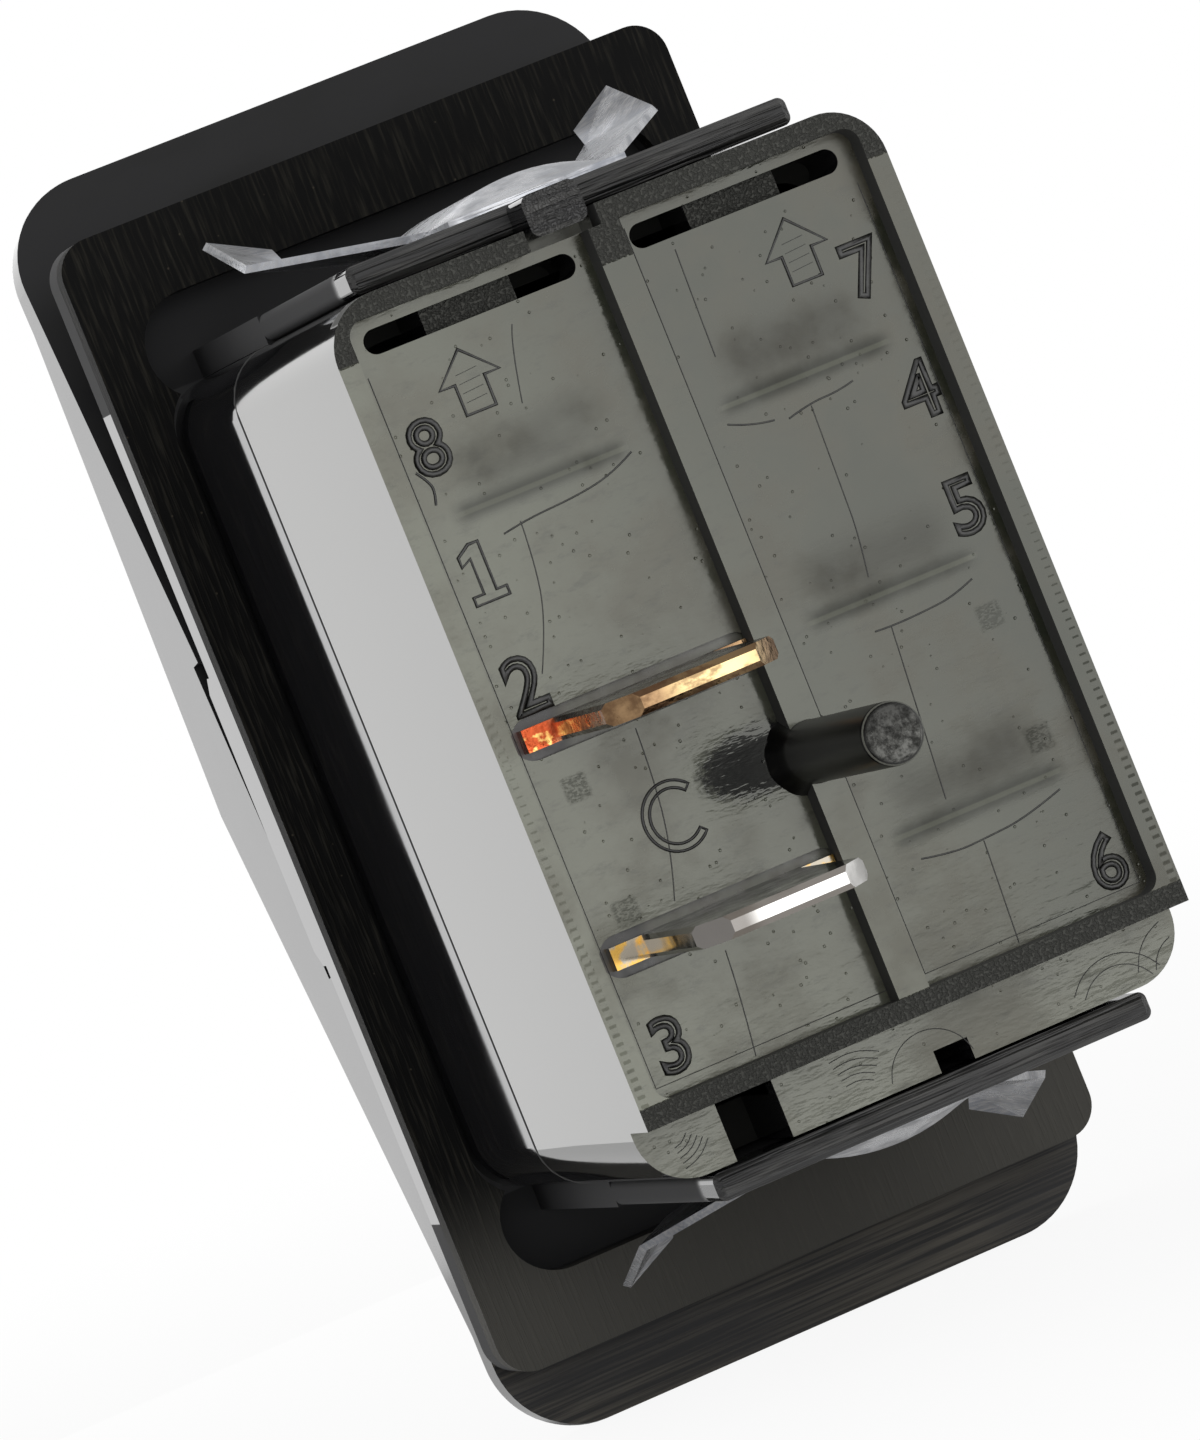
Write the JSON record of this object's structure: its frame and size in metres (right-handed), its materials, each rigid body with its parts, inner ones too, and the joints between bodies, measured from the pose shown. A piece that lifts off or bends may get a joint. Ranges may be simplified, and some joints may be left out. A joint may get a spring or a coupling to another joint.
{
  "type": "rocker switch",
  "caption": "Snap-in rocker switch with blade terminals: a rocker tilts on a flanged bracket, a sprung plunger tips a contact arm, and end clips hold it in a panel.",
  "frame": {"origin": "centre of the face that seats on the front of the panel, which is the back of the panel gasket", "axes": "+Y back through the panel to the blade terminals; +Z along the switch to its arrows' end; +X across, towards the column of fitted terminals"},
  "size_m": [0.0246, 0.0471, 0.0501],
  "materials": {
    "bracket": "satin black moulding",
    "panel_gasket": "brushed die-cut black sheet, brown cut edge",
    "base": "satin black moulding with fine texture on its rims",
    "base_seal": "matt black rubber",
    "clip_top": "cold-rolled stainless spring strip",
    "clip_bottom": "cold-rolled stainless spring strip",
    "terminal_2": "copper alloy, gold-orange, worn",
    "terminal_3": "silver-plated copper alloy, bright",
    "terminal_seal_2": "black potting",
    "terminal_seal_3": "black potting",
    "fixed_contact": "silver contact",
    "contact_arm": "copper",
    "moving_contact": "silver contact",
    "rocker": "satin black moulding",
    "actuator": "black moulding",
    "plunger": "natural acetal",
    "plunger_spring": "music wire"
  },
  "bodies": {
    "housing": {"bracket": "bracket", "panel_gasket": "panel_gasket", "base": "base", "base_seal": "base_seal", "clip_top": "clip_top", "clip_bottom": "clip_bottom", "terminal_2": "terminal_2", "terminal_3": "terminal_3", "terminal_seal_2": "terminal_seal_2", "terminal_seal_3": "terminal_seal_3", "fixed_contact": "fixed_contact"},
    "rocker": {"rocker": "rocker", "actuator": "actuator", "plunger_spring": "plunger_spring"},
    "plunger": {"plunger": "plunger"},
    "contact_arm": {"contact_arm": "contact_arm", "moving_contact": "moving_contact"}
  },
  "joints": [
    {"name": "rocker_tilt", "type": "hinge", "parent": "housing", "child": "rocker", "pos_m": [0, -0.0044, 0], "axis": [-1, 0, 0], "range_deg": [0, 13]},
    {"name": "arm_tilt", "type": "hinge", "parent": "housing", "child": "contact_arm", "pos_m": [0.0048, 0.01782, 0], "axis": [1, 0, 0], "range_deg": [0, 12]},
    {"name": "plunger_slide", "type": "slide", "parent": "rocker", "child": "plunger", "axis": [0, -0.9936, -0.1132], "range_m": [0, 0.001], "stiffness_N_per_m": 600, "deforming": ["plunger_spring"]}
  ],
  "couplings": [
    {"joint": "arm_tilt", "follows": "rocker_tilt", "ratio": 0.92308}
  ]
}
